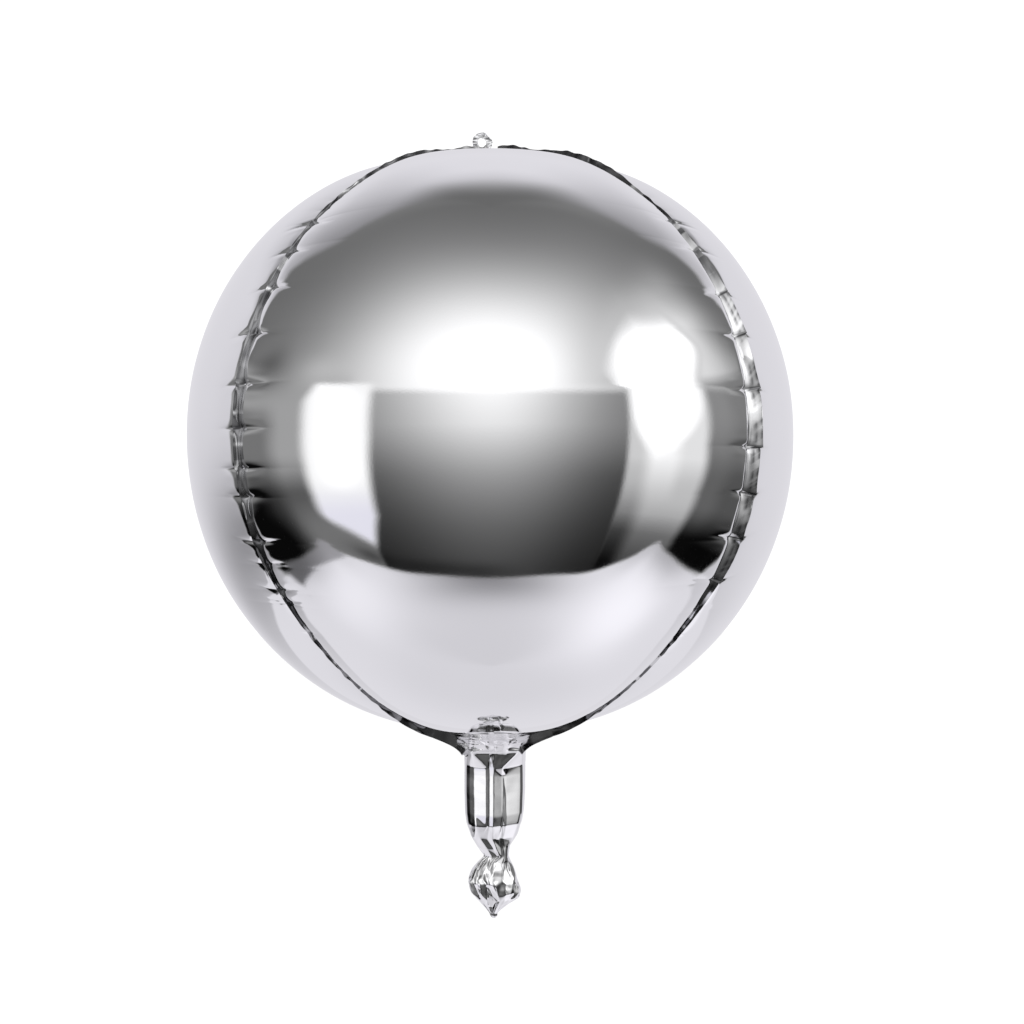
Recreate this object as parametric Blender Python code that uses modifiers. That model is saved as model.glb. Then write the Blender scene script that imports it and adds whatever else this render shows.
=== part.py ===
"""Sphere foil balloon, inflated, floating upright.

A ball of four curved foil panels joined along four upright seams. The seal
flanges of the seams stand proud of the ball. A gathered crown with a small
punched hang tab closes the top, and a gathered collar runs down into the
filling neck, which is twisted shut above its flared tail end.

Metres, +Z up. The origin is the centre of the ball. The front panel faces -Y,
and the seams stand at 45 degrees to either side of it.
"""

import math

import bmesh
import bpy
from mathutils import Matrix, Vector

# ---------------------------------------------------------------- dimensions
BALL_R = 0.190            # nominal radius of the ball
WALL = 0.010              # wall of the envelope panels
SEAM_GAP = 0.0009         # half the slot between two panels
GAP = 0.0003              # clearance between touching pieces

# radius of the surface over BALL_R, by latitude in degrees (south to north):
# along the middle of a panel, and along a seam
MID_RADIUS = [(-90, 0.986), (-75, 0.994), (-60, 1.003), (-45, 1.007),
              (-30, 1.007), (-15, 1.003), (0, 1.000), (15, 1.001),
              (30, 1.000), (45, 0.993), (60, 0.975), (75, 0.938), (90, 0.938)]
SEAM_RADIUS = [(-90, 0.990), (-75, 0.988), (-60, 0.974), (-50, 0.968),
               (-40, 0.971), (-30, 0.986), (-20, 1.006), (-10, 1.018),
               (0, 1.021), (10, 1.018), (20, 1.006), (30, 0.990),
               (40, 0.974), (50, 0.960), (60, 0.953), (75, 0.950), (90, 0.942)]

FLANGE_T = 0.0012         # thickness of a seal flange
FLANGE_W = 0.0060         # how far it stands out round the middle
FLANGE_W_END = 0.0024     # and near the crown and the collar
FLANGE_ROOT = 0.0040      # how deep it sits between the panels
FLANGE_LAT = (-71.5, 84.0)
LOBES = 9                 # scallops between latitudes -LOBE_LAT and LOBE_LAT
LOBE_LAT = 42.0
LOBE_DEPTH = 0.0011

CROWN_R = 0.0140
CROWN_TOP = 0.1862
TAB_T = 0.0016
TAB_RING_R = 0.0068
TAB_HOLE_R = 0.0030
TAB_CENTRE = (-0.0058, 0.1927)
TAB_FOOT = (-0.0036, 0.0034)

COLLAR_R = 0.0520
NECK_X = 0.0024           # the neck hangs a little to one side
# (height, half width, half depth) down the neck
COLLAR_SECTIONS = [(-0.1722, 0.0517, 0.0517, 0.0), (-0.1801, 0.0517, 0.0517, 0.0),
                   (-0.1842, 0.0462, 0.0458, 0.2), (-0.1888, 0.0402, 0.0395, 0.5),
                   (-0.1934, 0.0342, 0.0332, 0.8), (-0.1980, 0.0290, 0.0277, 1.0),
                   (-0.2022, 0.0247, 0.0232, 1.0), (-0.2072, 0.0212, 0.0196, 1.0)]
NECK_SECTIONS = [(-0.2075, 0.0206, 0.0190), (-0.2150, 0.0200, 0.0186),
                 (-0.2280, 0.0193, 0.0180), (-0.2400, 0.0184, 0.0172),
                 (-0.2490, 0.0174, 0.0160), (-0.2570, 0.0152, 0.0138),
                 (-0.2640, 0.0112, 0.0102)]
TWIST_SECTIONS = [(-0.2643, 0.0108, 0.0098), (-0.2690, 0.0086, 0.0078),
                  (-0.2725, 0.0080, 0.0072), (-0.2755, 0.0083, 0.0072)]
TAIL_SECTIONS = [(-0.2758, 0.0083, 0.0062), (-0.2810, 0.0120, 0.0060),
                 (-0.2865, 0.0156, 0.0058), (-0.2950, 0.0176, 0.0058),
                 (-0.3000, 0.0160, 0.0058), (-0.3060, 0.0085, 0.0050),
                 (-0.3105, 0.0036, 0.0032), (-0.3125, 0.0018, 0.0018)]
TAIL_X = 0.0018

FOIL = (0.78, 0.78, 0.80)


# ------------------------------------------------------------------- helpers
def clear_scene():
    for obj in list(bpy.data.objects):
        bpy.data.objects.remove(obj, do_unlink=True)


def collection(name):
    col = bpy.data.collections.new(name)
    bpy.context.scene.collection.children.link(col)
    return col


def principled(name, colour, roughness, metallic):
    mat = bpy.data.materials.new(name)
    mat.use_nodes = True
    shader = mat.node_tree.nodes["Principled BSDF"]
    shader.inputs["Base Color"].default_value = (*colour, 1.0)
    shader.inputs["Roughness"].default_value = roughness
    shader.inputs["Metallic"].default_value = metallic
    mat.diffuse_color = (*colour, 1.0)
    return mat


def place(obj, col, mat=None):
    col.objects.link(obj)
    if mat is not None:
        obj.data.materials.append(mat)
    return obj


def mesh_object(name, bm, col, mat=None, smooth=False):
    mesh = bpy.data.meshes.new(name)
    bm.to_mesh(mesh)
    bm.free()
    if smooth:
        mesh.shade_smooth()
        mesh.set_sharp_from_angle(angle=math.radians(40))
    return place(bpy.data.objects.new(name, mesh), col, mat)


def table(rows, x):
    """Smooth reading of a small table (cubic through the neighbours)."""
    if x <= rows[0][0]:
        return rows[0][1]
    if x >= rows[-1][0]:
        return rows[-1][1]
    for i in range(len(rows) - 1):
        if rows[i][0] <= x <= rows[i + 1][0]:
            break
    x0, y0 = rows[i]
    x1, y1 = rows[i + 1]
    h = x1 - x0
    m0 = (y1 - rows[i - 1][1]) / (x1 - rows[i - 1][0]) if i > 0 else 0.0
    m1 = ((rows[i + 2][1] - y0) / (rows[i + 2][0] - x0)
          if i + 2 < len(rows) else 0.0)
    t = (x - x0) / h
    return ((2 * t ** 3 - 3 * t ** 2 + 1) * y0 + (t ** 3 - 2 * t ** 2 + t) * h * m0
            + (3 * t ** 2 - 2 * t ** 3) * y1 + (t ** 3 - t ** 2) * h * m1)


def surface_radius(lat, u):
    """Radius at a latitude; u runs from 0 mid panel to 1 on the seam."""
    mid = table(MID_RADIUS, lat)
    seam = table(SEAM_RADIUS, lat)
    power = 2.2 + 2.6 * min(1.0, (abs(lat) / 55.0) ** 2)
    return BALL_R * (mid + (seam - mid) * abs(u) ** power)


def boolean(obj, cutter, operation):
    mod = obj.modifiers.new(operation.title(), "BOOLEAN")
    mod.operation = operation
    mod.solver = "EXACT"
    mod.object = cutter
    return mod


def make_cutter(obj):
    obj.hide_render = True
    obj.display_type = "WIRE"
    return obj


def loft(name, rings, col, mat):
    """Closed solid through unlike sections, each a ring of points."""
    bm = bmesh.new()
    rows = [[bm.verts.new(p) for p in ring] for ring in rings]
    n = len(rows[0])
    bm.faces.new(rows[0])
    bm.faces.new(list(reversed(rows[-1])))
    for upper, lower in zip(rows, rows[1:]):
        for i in range(n):
            j = (i + 1) % n
            bm.faces.new((upper[i], lower[i], lower[j], upper[j]))
    bmesh.ops.recalc_face_normals(bm, faces=bm.faces)
    return mesh_object(name, bm, col, mat, smooth=True)


def section(cx, cy, z, half_w, half_d, sides, square=2.0, turn=0.0):
    """Ring of points on a superellipse; square 2 is round, 4 nearly square."""
    ring = []
    for i in range(sides):
        a = 2 * math.pi * (i + 0.5) / sides
        c, s = math.cos(a), math.sin(a)
        k = (abs(c) ** square + abs(s) ** square) ** (-1.0 / square)
        x, y = half_w * k * c, half_d * k * s
        ring.append((cx + x * math.cos(turn) - y * math.sin(turn),
                     cy + x * math.sin(turn) + y * math.cos(turn), z))
    return ring


# ------------------------------------------------------------------- pieces
def panel_cutters(cutters, azimuth, name):
    """Wedge between the two seam planes of a panel."""
    bm = bmesh.new()
    bmesh.ops.create_cube(bm, size=0.6)
    offset = 0.3 * math.sqrt(2.0) + SEAM_GAP * math.sqrt(2.0)
    bmesh.ops.rotate(bm, verts=bm.verts, cent=(0, 0, 0),
                     matrix=Matrix.Rotation(math.radians(45) + azimuth, 3, "Z"))
    bmesh.ops.translate(bm, verts=bm.verts,
                        vec=(offset * math.sin(azimuth), -offset * math.cos(azimuth), 0))
    return make_cutter(mesh_object("cut_" + name, bm, cutters))


def pole_cutter(cutters, name, radius, z):
    bm = bmesh.new()
    bmesh.ops.create_cone(bm, cap_ends=True, segments=32, radius1=radius,
                          radius2=radius, depth=0.08)
    bmesh.ops.translate(bm, verts=bm.verts, vec=(0, 0, z))
    return make_cutter(mesh_object(name, bm, cutters))


def build_panel(name, azimuth, parts, cutters, holes):
    """One foil panel: a gore of the ball, thickened inwards and cut to its seams."""
    step = math.radians(7.5)
    bm = bmesh.new()
    bmesh.ops.create_uvsphere(bm, u_segments=48, v_segments=24, radius=1.0)
    drop = []
    for face in bm.faces:
        c = face.calc_center_median()
        a = math.atan2(c.x, -c.y) - azimuth
        a = (a + math.pi) % (2 * math.pi) - math.pi
        if abs(a) > math.radians(45) + step:
            drop.append(face)
    bmesh.ops.delete(bm, geom=drop, context="FACES")
    for v in bm.verts:
        lat = math.asin(max(-1.0, min(1.0, v.co.z)))
        if abs(abs(lat) - math.pi / 2) < 1e-4:
            u = 0.0
        else:
            a = math.atan2(v.co.x, -v.co.y) - azimuth
            a = (a + math.pi) % (2 * math.pi) - math.pi
            u = a / math.radians(45)
        v.co = v.co.normalized() * surface_radius(math.degrees(lat), u)
    bmesh.ops.recalc_face_normals(bm, faces=bm.faces)
    centre = Vector((0, 0, 0))
    outward = sum(1 for f in bm.faces if f.normal.dot(f.calc_center_median() - centre) > 0)
    if outward < len(bm.faces) / 2:
        bmesh.ops.reverse_faces(bm, faces=bm.faces)
    obj = mesh_object(name, bm, parts,
                      principled(name + "_foil", FOIL, 0.06, 1.0), smooth=True)
    thick = obj.modifiers.new("Wall", "SOLIDIFY")
    thick.thickness = WALL
    thick.offset = -1.0
    thick.use_even_offset = True
    boolean(obj, panel_cutters(cutters, azimuth, name), "INTERSECT")
    for hole in holes:
        boolean(obj, hole, "DIFFERENCE")
    return obj


def flange_width(lat):
    """How far the seal flange stands out, with its scalloped edge."""
    fade = max(0.0, min(1.0, (70.0 - abs(lat)) / 30.0))
    width = FLANGE_W_END + (FLANGE_W - FLANGE_W_END) * fade * fade * (3 - 2 * fade)
    if abs(lat) < LOBE_LAT:
        phase = math.pi * LOBES * (lat + LOBE_LAT) / (2 * LOBE_LAT)
        width -= LOBE_DEPTH * (1.0 - abs(math.sin(phase)))
    return width


def build_flange(name, azimuth, parts):
    """Seal flange of one seam, a flat scalloped strip in the seam's plane."""
    low, high = FLANGE_LAT
    outer, inner = [], []
    for i in range(73):
        lat = low + (high - low) * i / 72
        r = surface_radius(lat, 1.0) + flange_width(lat)
        outer.append((r * math.cos(math.radians(lat)), r * math.sin(math.radians(lat))))
    for i in range(37):
        lat = low + (high - low) * i / 36
        r = surface_radius(lat, 1.0) - FLANGE_ROOT
        inner.append((r * math.cos(math.radians(lat)), r * math.sin(math.radians(lat))))
    outline = outer + list(reversed(inner))
    curve = bpy.data.curves.new(name, "CURVE")
    curve.dimensions = "2D"
    curve.fill_mode = "BOTH"
    curve.extrude = FLANGE_T / 2
    spline = curve.splines.new("POLY")
    spline.points.add(len(outline) - 1)
    for point, (x, y) in zip(spline.points, outline):
        point.co = (x, y, 0.0, 1.0)
    spline.use_cyclic_u = True
    obj = place(bpy.data.objects.new(name, curve), parts,
                principled(name + "_foil", FOIL, 0.10, 1.0))
    # the curve lies in its own XY plane: stand it up, then turn it to the seam
    obj.rotation_euler = (math.radians(90), 0.0, azimuth - math.radians(90))
    return obj


def build_crown(parts):
    """Gathered crown that closes the top: a low turned cap."""
    top = surface_radius(89.0, 0.0)
    edge = math.sqrt(surface_radius(85.0, 0.0) ** 2 - CROWN_R ** 2)
    r = CROWN_R - GAP
    profile = [(0.0, CROWN_TOP), (0.0078, CROWN_TOP), (0.0102, CROWN_TOP - 0.0006),
               (0.0124, (CROWN_TOP + edge) / 2 - 0.0002), (r, edge - 0.0002),
               (r, edge - WALL + 0.0008), (0.0, top - WALL + 0.0010)]
    bm = bmesh.new()
    verts = [bm.verts.new((x, 0.0, z)) for x, z in profile]
    for a, b in zip(verts, verts[1:]):
        bm.edges.new((a, b))
    obj = mesh_object("crown_gather", bm, parts,
                      principled("crown_gather_foil", FOIL, 0.12, 1.0))
    screw = obj.modifiers.new("Turn", "SCREW")
    screw.axis = "Z"
    screw.angle = 2 * math.pi
    screw.steps = 24
    screw.render_steps = 24
    screw.use_merge_vertices = True
    screw.merge_threshold = 0.00005
    screw.use_smooth_shade = True
    return obj


def build_tab(parts):
    """Punched hang tab: a flat ring on a foot, leaning a little to one side."""
    cx, cz = TAB_CENTRE
    foot_z = CROWN_TOP + GAP
    points = []
    # from the right foot corner, over the ring, to the left foot corner
    start, end = math.radians(-28), math.radians(228)
    for i in range(29):
        a = start + (end - start) * i / 28
        points.append((cx + TAB_RING_R * math.cos(a), cz + TAB_RING_R * math.sin(a)))
    points = [(TAB_FOOT[1], foot_z)] + points + [(cx + TAB_FOOT[0] + 0.001, foot_z)]
    curve = bpy.data.curves.new("hang_tab", "CURVE")
    curve.dimensions = "2D"
    curve.fill_mode = "BOTH"
    curve.extrude = TAB_T / 2
    outline = curve.splines.new("POLY")
    outline.points.add(len(points) - 1)
    for point, (x, y) in zip(outline.points, points):
        point.co = (x, y, 0.0, 1.0)
    outline.use_cyclic_u = True
    hole = curve.splines.new("POLY")
    hole.points.add(19)
    for i, point in enumerate(hole.points):
        a = -2 * math.pi * i / 20
        point.co = (cx + TAB_HOLE_R * math.cos(a), cz + TAB_HOLE_R * math.sin(a), 0.0, 1.0)
    hole.use_cyclic_u = True
    obj = place(bpy.data.objects.new("hang_tab", curve), parts,
                principled("hang_tab_foil", FOIL, 0.15, 1.0))
    obj.rotation_euler = (math.radians(90), 0.0, 0.0)
    return obj


def build_neck(parts):
    """Collar, filling neck, twist and flared tail end, from the top down."""
    rings = [section(NECK_X * shift, 0.0, z, w, d, 24, 2.0 + 0.6 * shift)
             for z, w, d, shift in COLLAR_SECTIONS]
    loft("neck_collar", rings, parts, principled("neck_collar_foil", FOIL, 0.12, 1.0))
    rings = [section(NECK_X, 0.0, z, w, d, 24, 2.9 if z > -0.25 else 2.4)
             for z, w, d in NECK_SECTIONS]
    loft("filling_neck", rings, parts, principled("filling_neck_foil", FOIL, 0.10, 1.0))
    rings = [section(NECK_X, 0.0, z, w, d, 16, 2.2) for z, w, d in TWIST_SECTIONS]
    loft("neck_twist", rings, parts, principled("neck_twist_foil", FOIL, 0.20, 1.0))
    rings = []
    for z, w, d in TAIL_SECTIONS:
        ring = []
        # a flattened section: level front and back faces between sloping edges
        for x, y in ((1.0, 0.0), (0.62, 1.0), (0.0, 1.0), (-0.62, 1.0),
                     (-1.0, 0.0), (-0.62, -1.0), (0.0, -1.0), (0.62, -1.0)):
            ring.append((TAIL_X + w * x, d * y, z))
        rings.append(ring)
    loft("tail_end", rings, parts, principled("tail_end_foil", FOIL, 0.12, 1.0))


def main():
    clear_scene()
    parts = collection("sphere_foil_balloon")
    cutters = collection("cutters")
    holes = [pole_cutter(cutters, "cut_crown", CROWN_R, 0.20),
             pole_cutter(cutters, "cut_collar", COLLAR_R, -0.20)]
    for name, degrees in (("front_panel", 0), ("right_panel", 90),
                          ("back_panel", 180), ("left_panel", -90)):
        build_panel(name, math.radians(degrees), parts, cutters, holes)
    for name, degrees in (("seam_front_right", 45), ("seam_back_right", 135),
                          ("seam_back_left", -135), ("seam_front_left", -45)):
        build_flange(name, math.radians(degrees), parts)
    build_crown(parts)
    build_tab(parts)
    build_neck(parts)


main()
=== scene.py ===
"""Looks of the sphere foil balloon.

Every CAD node is replaced by a fine foil mesh in the same place: four panels
that pucker along their seams, four seal flanges, the crown with its hang tab,
and the collar, neck, twist and tail end, which are one crumpled tube cut into
its four pieces. Metres, +Z up, origin at the centre of the ball.
"""

import math

import bpy
import numpy as np
from mathutils import Matrix, Vector


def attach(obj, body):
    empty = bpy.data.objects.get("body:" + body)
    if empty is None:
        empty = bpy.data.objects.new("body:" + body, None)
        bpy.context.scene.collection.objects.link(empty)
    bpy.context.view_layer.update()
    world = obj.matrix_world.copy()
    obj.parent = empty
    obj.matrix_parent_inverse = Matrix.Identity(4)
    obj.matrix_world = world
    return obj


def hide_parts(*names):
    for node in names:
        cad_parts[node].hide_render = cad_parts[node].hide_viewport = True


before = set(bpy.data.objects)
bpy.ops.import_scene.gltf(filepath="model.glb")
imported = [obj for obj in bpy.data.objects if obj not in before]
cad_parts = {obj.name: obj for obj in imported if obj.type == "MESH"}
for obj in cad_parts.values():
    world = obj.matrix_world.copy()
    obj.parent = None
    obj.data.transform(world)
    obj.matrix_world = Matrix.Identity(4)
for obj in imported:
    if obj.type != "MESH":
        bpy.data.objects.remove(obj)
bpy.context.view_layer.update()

# ------------------------------------------------------------ shape of the ball
BALL_R = 0.190
WALL = 0.010
MID_RADIUS = [(-90, 0.986), (-75, 0.994), (-60, 1.003), (-45, 1.007),
              (-30, 1.007), (-15, 1.003), (0, 1.000), (15, 1.001),
              (30, 1.000), (45, 0.993), (60, 0.975), (75, 0.938), (90, 0.938)]
SEAM_RADIUS = [(-90, 0.990), (-75, 0.988), (-60, 0.974), (-50, 0.968),
               (-40, 0.971), (-30, 0.986), (-20, 1.006), (-10, 1.018),
               (0, 1.021), (10, 1.018), (20, 1.006), (30, 0.990),
               (40, 0.974), (50, 0.960), (60, 0.953), (75, 0.950), (90, 0.942)]
LAT_LOW, LAT_HIGH = -74.0, 85.7      # rims of the collar and the crown

# Puckers along each seam: (latitude, strength), north to south. The two front
# seams are placed one by one, the two back ones follow the same spacing.
PUCKERS = {
    45: [(40.4, 0.95), (33.3, 1.0), (23.7, 1.0), (15.9, 1.0), (6.8, 1.1),
         (-2.5, 1.25), (-10.1, 1.15), (-17.7, 1.1), (-25.7, 0.9), (-31.8, 0.45),
         (-38.4, 0.3)],
    -45: [(39.0, 1.2), (32.0, 1.0), (24.4, 1.0), (15.9, 1.1), (7.3, 1.1),
          (0.4, 0.9), (-6.1, 1.0), (-10.4, 0.9), (-18.3, 1.1), (-22.2, 0.7),
          (-27.4, 0.9), (-29.9, 0.8), (-37.0, 0.3)],
    135: [(41.0, 0.4), (33.8, 0.7), (26.1, 0.9), (18.0, 1.1), (9.6, 1.0),
          (1.9, 1.2), (-7.2, 1.0), (-15.3, 1.15), (-22.8, 0.9), (-30.9, 0.7),
          (-38.0, 0.35)],
    -135: [(39.6, 0.45), (32.4, 0.7), (24.9, 1.0), (16.2, 0.95), (8.6, 1.15),
           (-0.9, 1.1), (-8.8, 1.0), (-16.9, 1.0), (-25.2, 0.95), (-32.6, 0.55),
           (-39.5, 0.3)],
}


def smooth(x, lo, hi):
    """Smooth step from 0 at lo to 1 at hi; hi may lie below lo."""
    t = np.clip((np.asarray(x, float) - lo) / (hi - lo), 0.0, 1.0)
    return t * t * (3.0 - 2.0 * t)


def read(rows, x):
    """Smooth reading of a small table (cubic through the neighbours)."""
    xs = np.array([r[0] for r in rows], float)
    ys = np.array([r[1] for r in rows], float)
    m = np.zeros(len(xs))
    m[1:-1] = (ys[2:] - ys[:-2]) / (xs[2:] - xs[:-2])
    x = np.clip(x, xs[0], xs[-1])
    i = np.clip(np.searchsorted(xs, x, "right") - 1, 0, len(xs) - 2)
    h = xs[i + 1] - xs[i]
    t = (x - xs[i]) / h
    return ((2 * t ** 3 - 3 * t ** 2 + 1) * ys[i] + (t ** 3 - 2 * t ** 2 + t) * h * m[i]
            + (3 * t ** 2 - 2 * t ** 3) * ys[i + 1] + (t ** 3 - t ** 2) * h * m[i + 1])


def ball_radius(lat, u):
    """Radius at a latitude; u runs from 0 mid panel to 1 on the seam."""
    mid, seam = read(MID_RADIUS, lat), read(SEAM_RADIUS, lat)
    power = 2.2 + 2.6 * np.minimum(1.0, (np.abs(lat) / 55.0) ** 2)
    return BALL_R * (mid + (seam - mid) * np.abs(u) ** power)


# How wide the sealed flange shows by latitude. The one at front left is folded
# nearly flat, the others stand widest round the middle.
FLANGE = {
    45: [(-98, 0.0022), (-92, 0.0054), (-84, 0.0066), (-78, 0.0060), (-74, 0.0052), (-70, 0.0043),
         (-66, 0.0034), (-58, 0.0018), (-50, 0.0012), (-36, 0.0012), (-30, 0.0018), (-22, 0.0033),
         (-12, 0.0040), (0, 0.0043), (8, 0.0042), (18, 0.0033), (26, 0.0023),
         (32, 0.0016), (40, 0.0012), (47, 0.0012), (52, 0.0019), (57, 0.0035), (65, 0.0045),
         (70, 0.0042), (74, 0.0033), (77, 0.0031), (79, 0.0036), (81, 0.0046), (82.5, 0.0062),
         (85, 0.0078), (88, 0.0086), (89, 0.0080)],
    -45: [(-98, 0.0024), (-92, 0.0052), (-84, 0.0068), (-78, 0.0062), (-74, 0.0054), (-66, 0.0038),
          (-58, 0.0019), (-50, 0.0010), (-38, 0.0009), (-30, 0.0010), (-20, 0.0016),
          (-10, 0.0022), (0, 0.0025), (10, 0.0021), (20, 0.0014), (30, 0.0010),
          (45, 0.0011), (57, 0.0022), (68, 0.0034), (78, 0.0026), (81, 0.0044),
          (83, 0.0060), (85.5, 0.0070), (89, 0.0074)],
    135: [(-98, 0.0020), (-84, 0.0044), (-74, 0.0036), (-60, 0.0018), (-48, 0.0012),
          (-38, 0.0013), (-30, 0.0026), (-15, 0.0048), (0, 0.0055), (15, 0.0047),
          (28, 0.0026), (38, 0.0012), (50, 0.0011), (62, 0.0022), (76, 0.0026),
          (82, 0.0048), (88, 0.0062)],
    -135: [(-98, 0.0020), (-84, 0.0044), (-74, 0.0036), (-60, 0.0018), (-48, 0.0012),
           (-38, 0.0012), (-30, 0.0024), (-15, 0.0044), (0, 0.0050), (15, 0.0044),
           (28, 0.0024), (38, 0.0011), (50, 0.0011), (62, 0.0020), (76, 0.0024),
           (82, 0.0046), (88, 0.0060)],
}


def lobes(seam):
    """All puckers of a seam from south to north, and the shape of each lobe
    between two of them: tightness of its roll, lean and twist of its flange."""
    rng = np.random.default_rng(int(seam) + 500)
    nodes = sorted(PUCKERS[seam])
    pitch = 4.2
    top, bottom = nodes[-1][0], nodes[0][0]
    while top < 76:
        top += pitch * (0.75 + 0.5 * rng.random())
        nodes.append((top, 0.16 * (0.6 + 0.8 * rng.random())))
    while bottom > -66:
        bottom -= pitch * (0.75 + 0.5 * rng.random())
        nodes.append((bottom, 0.15 * (0.6 + 0.8 * rng.random())))
    nodes = sorted(nodes)
    shape = []
    sign = 1.0
    for k in range(len(nodes)):
        sign = -sign if rng.random() < 0.7 else sign
        shape.append((0.75 + 0.6 * rng.random(), sign * (0.25 + 0.75 * rng.random()),
                      rng.normal() * 0.5, 0.017 + 0.008 * rng.random(),
                      0.00100 + 0.00035 * rng.random(), 0.42 * math.sin(math.radians(nodes[k][0])) + (rng.random() - 0.5) * 0.06))
    return np.array(nodes), np.array(shape)


def along(nodes, lat):
    """Lobe number, place in the lobe from its lower node, and its length."""
    i = np.clip(np.searchsorted(nodes[:, 0], lat, "right") - 1, 0, len(nodes) - 2)
    t = np.clip((lat - nodes[i, 0]) / (nodes[i + 1, 0] - nodes[i, 0]), 0.0, 1.0)
    return i, t, np.radians(nodes[i + 1, 0] - nodes[i, 0]) * BALL_R


def seam_dip(seam, lat, d):
    """How far the foil lies below the plain ball, at a distance d from a seam.

    The two foils roll over into the seal, and between the puckers the edge
    bulges like a row of small pillows. Each pucker runs into the panel as a
    fading crease.
    """
    nodes, shape = lobes(seam)
    end = smooth(lat, -73.0, -66.0) * smooth(lat, 84.5, 78.0)
    i, t, pitch = along(nodes, lat)
    strength = nodes[i, 1] * (1 - t) + nodes[i + 1, 1] * t
    middle = smooth(np.abs(lat), 42, 14)
    tight = shape[i, 0] + (shape[i + 1, 0] - shape[i, 0]) * smooth(t, 0.75, 1.0)
    roll = (0.0003 + 0.0008 * middle) * np.exp(-d / (0.0017 * tight))
    # a lobe is fullest a little above its middle, and sags at its upper end
    cusp = 1.0 - np.sin(np.pi * t ** 0.9) ** 0.8
    big = np.clip(pitch / 0.026, 0.2, 1.0)
    reach = np.clip(0.16 * pitch, 0.0018, 0.0045) * (0.8 + 0.4 * (tight - 0.75))
    pillow = (0.0005 + 0.0011 * middle) * strength * big * cusp * np.exp(-d / reach)
    pillow += 0.00100 * strength * big * (cusp - 0.45) * np.exp(-d / 0.0120)
    # the pillows end inwards in a soft, scalloped line
    rise = {45: 0.34, 135: 0.22, -135: 0.22, -45: 0.06}[int(seam)] * smooth(np.abs(lat), 47, 33)
    edge = (0.0036 + 0.0034 * big * np.sin(np.pi * t) ** 0.7) * (0.75 + 0.25 * tight)
    pillow += rise * 0.0006 * np.logaddexp(0.0, (edge - d) / 0.0006)
    crease = np.zeros_like(d)
    for (lat_n, f), form in zip(nodes, shape):
        long = form[3] * (0.25 + 0.75 * min(1.0, f))
        s = np.radians(lat - lat_n) * BALL_R + form[5] * d
        left = np.clip(1.0 - d / long, 0.0, 1.0) ** 0.8
        width = form[4] * (0.45 + 0.55 * min(1.0, f)) * (0.25 + 0.75 * left)
        crease += 0.00085 * f * left * np.exp(-np.abs(s) / width)
        crease -= 0.00012 * f * left * np.exp(-((np.abs(s) - 0.0036) / 0.0018) ** 2)
    # faint ripples square to the seam
    rng = np.random.default_rng(int(seam) + 600)
    ripple = np.zeros_like(d)
    s = np.radians(lat) * BALL_R
    for k in range(7):
        wave = 0.0055 + 0.0016 * k
        ripple += np.sin(2 * np.pi * (s / wave + rng.random()) + 40 * d * (rng.random() - 0.5)) * wave
    ripple *= 0.00035 * smooth(np.abs(lat), 62, 30) * np.exp(-d / 0.013)
    return (roll + pillow + crease + ripple) * end


def slack(p):
    """Slow, faint unevenness of the stretched foil."""
    rng = np.random.default_rng(77)
    out = np.zeros(p.shape[:-1])
    for k in range(9):
        way = rng.normal(size=3)
        way /= np.linalg.norm(way)
        length = 0.050 + 0.085 * rng.random()
        out += np.sin(2 * np.pi * (p @ way) / length + 6.3 * rng.random()) * length
    return out * 0.00016


# ---------------------------------------------------------------- mesh building
def make_mesh(name, verts, faces, sharp=None, smooth_shade=True):
    """Mesh from vertices and a list of quad and triangle arrays."""
    verts = np.ascontiguousarray(verts, dtype=np.float32)
    mesh = bpy.data.meshes.new(name)
    loops = np.concatenate([f.ravel() for f in faces]).astype(np.int32)
    sizes = np.concatenate([np.full(len(f), f.shape[1]) for f in faces]).astype(np.int32)
    starts = np.concatenate([[0], np.cumsum(sizes)[:-1]]).astype(np.int32)
    mesh.vertices.add(len(verts))
    mesh.vertices.foreach_set("co", verts.ravel())
    mesh.loops.add(len(loops))
    mesh.loops.foreach_set("vertex_index", loops)
    mesh.polygons.add(len(sizes))
    mesh.polygons.foreach_set("loop_start", starts)
    mesh.update(calc_edges=True)
    mesh.validate()
    if smooth_shade:
        mesh.shade_smooth()
    if sharp is not None:
        edges = np.zeros(len(mesh.edges) * 2, np.int32)
        mesh.edges.foreach_get("vertices", edges)
        edges = edges.reshape(-1, 2)
        flag = sharp[edges[:, 0]] & sharp[edges[:, 1]]
        attr = mesh.attributes.get("sharp_edge") or mesh.attributes.new("sharp_edge", "BOOLEAN", "EDGE")
        attr.data.foreach_set("value", flag)
    obj = bpy.data.objects.new(name, mesh)
    bpy.context.scene.collection.objects.link(obj)
    return obj


def grid_faces(rows, cols, closed=False, start=0):
    """Quads of a grid whose rows go down and whose columns go to the right."""
    i, j = np.meshgrid(np.arange(rows - 1), np.arange(cols if closed else cols - 1), indexing="ij")
    k = (j + 1) % cols
    a, b = i * cols + j, (i + 1) * cols + j
    c, d = (i + 1) * cols + k, i * cols + k
    return start + np.stack([a, b, c, d], -1).reshape(-1, 4)


def border(rows, cols):
    """Indices round the edge of a grid, as one loop."""
    top = np.arange(cols)
    right = np.arange(1, rows) * cols + cols - 1
    bottom = (rows - 1) * cols + np.arange(cols - 2, -1, -1)
    left = np.arange(rows - 2, 0, -1) * cols
    return np.concatenate([top, right, bottom, left])


# ---------------------------------------------------------------------- panels
STEP = 4          # the inner face of the wall is this much coarser


def spacing(count_from, values):
    out = [0.0]
    for size, n in values:
        for _ in range(n):
            out.append(out[-1] + size)
    return np.array(out)


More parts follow.
